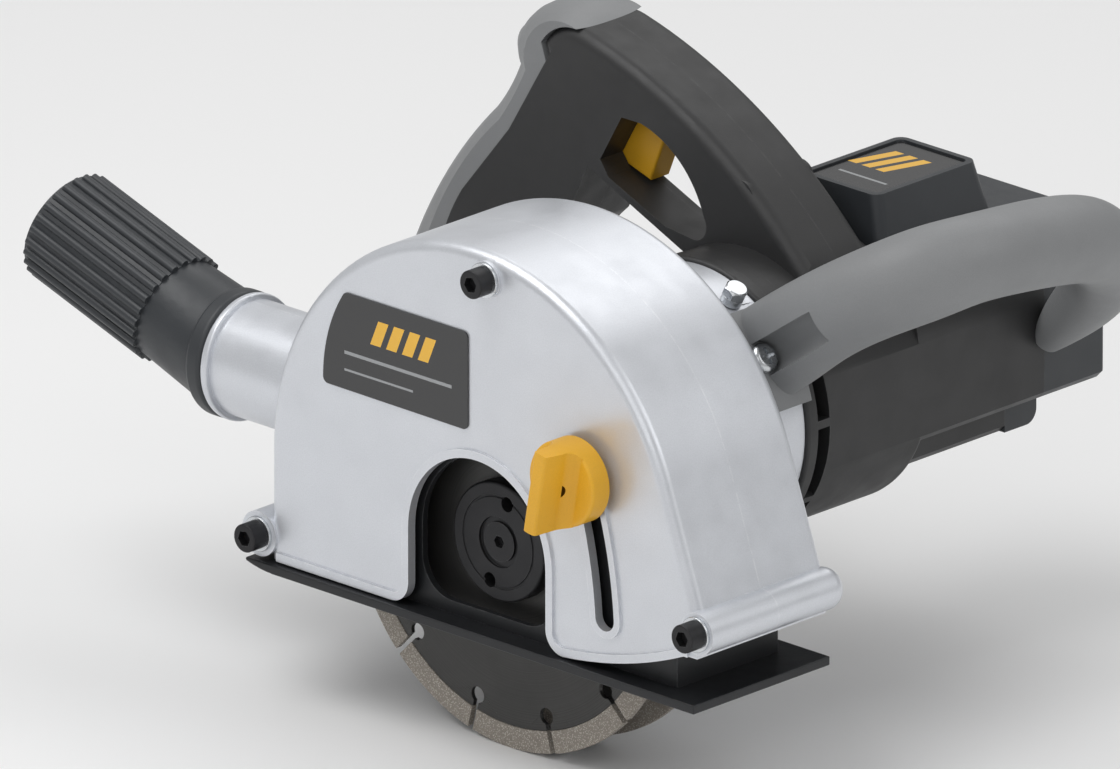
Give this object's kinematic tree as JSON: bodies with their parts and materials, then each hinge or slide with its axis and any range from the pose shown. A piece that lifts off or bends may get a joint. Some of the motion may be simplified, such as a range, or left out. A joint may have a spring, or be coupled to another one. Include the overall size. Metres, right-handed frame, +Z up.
{
  "type": "wall chaser",
  "caption": "Hand-held wall chaser: parallel segmented diamond blades under a cast guard, a swinging depth sole with clamp knob, dust elbow, motor, D handle and bail handle.",
  "frame": {"origin": "middle of the sole's underside at the deepest setting, straight below the spindle", "axes": "+X along the cut towards the clamp end, +Y from the blades to the motor's rear, +Z up; the sole faces -Z"},
  "size_m": [0.3589, 0.2798, 0.2183],
  "materials": {
    "cast_metal": "fine cast surface, bright silver paint",
    "black_steel": "black oxide",
    "zinc_steel": "bright zinc plating",
    "label_black": "gloss film with a plain yellow and grey pattern",
    "sole_black": "powder coat",
    "yellow_plastic": "satin moulded",
    "blade_steel": "dark ground steel",
    "diamond_segment": "sintered, speckled",
    "machined_steel": "turned",
    "copper": "enamelled copper",
    "black_plastic": "fine moulded texture",
    "slate_plastic": "satin moulded, slightly blue",
    "black_rubber": "matte",
    "grey_grip": "soft matte moulding",
    "felt": "felt",
    "carbon": "pressed carbon"
  },
  "bodies": {
    "housing": {"guard_cover": "cast_metal", "guard_rear": "cast_metal", "guard_screws": "black_steel", "pivot_bolt": "black_steel", "guard_washers": "zinc_steel", "front_label": "label_black", "gear_housing": "cast_metal", "bearing_plate": "cast_metal", "spindle_bearing_outer": "machined_steel", "motor_bearing_outer": "machined_steel", "felt_seal": "felt", "motor_housing": "black_plastic", "stator_core": "machined_steel", "field_windings": "copper", "brush_holders": "black_plastic", "brushes": "carbon", "brush_springs": "machined_steel", "brush_caps": "black_plastic", "rear_cap": "slate_plastic", "cable_gland": "black_rubber", "top_box": "slate_plastic", "top_label": "label_black", "soft_start_module": "black_plastic", "handle_front_shell": "black_plastic", "handle_rear_shell": "black_plastic", "handle_screws": "black_steel", "soft_grip": "grey_grip", "switch_body": "black_plastic", "bail_handle": "grey_grip", "bail_screw": "zinc_steel", "lock_spring": "zinc_steel"},
    "spindle": {"spindle_shaft": "machined_steel", "drive_gear": "machined_steel", "inner_flange": "black_steel", "arbor_sleeve": "machined_steel", "blade_spacer": "machined_steel", "front_blade_core": "blade_steel", "front_blade_segments": "diamond_segment", "rear_blade_core": "blade_steel", "rear_blade_segments": "diamond_segment", "outer_flange_nut": "black_steel", "spindle_bearing_inner": "machined_steel"},
    "rotor": {"motor_shaft": "machined_steel", "lock_disc": "machined_steel", "armature_core": "machined_steel", "armature_windings": "copper", "commutator": "copper", "fan": "black_plastic", "motor_bearing_inner": "machined_steel"},
    "depth_shoe": {"sole_plate": "sole_black", "shoe_bracket": "sole_black", "clamp_bolt": "zinc_steel", "clamp_washer": "zinc_steel"},
    "clamp_knob": {"depth_knob": "yellow_plastic", "knob_nut": "zinc_steel"},
    "trigger": {"trigger": "yellow_plastic"},
    "lock_button": {"lock_button": "zinc_steel"},
    "dust_adapter": {"dust_adapter": "slate_plastic"}
  },
  "joints": [
    {"name": "spindle_spin", "type": "hinge", "parent": "housing", "child": "spindle", "pos_m": [0, 0, 0.032], "axis": [0, 1, 0], "continuous": true},
    {"name": "rotor_spin", "type": "hinge", "parent": "housing", "child": "rotor", "pos_m": [0.014, 0, 0.06408], "axis": [0, 1, 0], "continuous": true},
    {"name": "depth_swing", "type": "hinge", "parent": "housing", "child": "depth_shoe", "pos_m": [-0.102, 0, 0.012], "axis": [0, 1, 0], "range_deg": [0, 17.4]},
    {"name": "knob_turn", "type": "hinge", "parent": "depth_shoe", "child": "clamp_knob", "pos_m": [0.04885, -0.0344, 0.07051], "axis": [0, -1, 0], "range_deg": [0, 180]},
    {"name": "trigger_press", "type": "slide", "parent": "housing", "child": "trigger", "axis": [-0.9285, 0, 0.3714], "range_m": [0, 0.004], "stiffness_N_per_m": 900, "springref_m": -0.003},
    {"name": "lock_press", "type": "slide", "parent": "housing", "child": "lock_button", "axis": [-0.4633, 0, -0.8862], "range_m": [0, 0.003], "stiffness_N_per_m": 900, "springref_m": -0.003, "deforming": ["lock_spring"]},
    {"name": "adapter_swivel", "type": "hinge", "parent": "housing", "child": "dust_adapter", "pos_m": [-0.1398, 0, 0.058], "axis": [-1, 0, 0], "continuous": true}
  ],
  "couplings": [
    {"joint": "rotor_spin", "follows": "spindle_spin", "ratio": -3.6667}
  ]
}
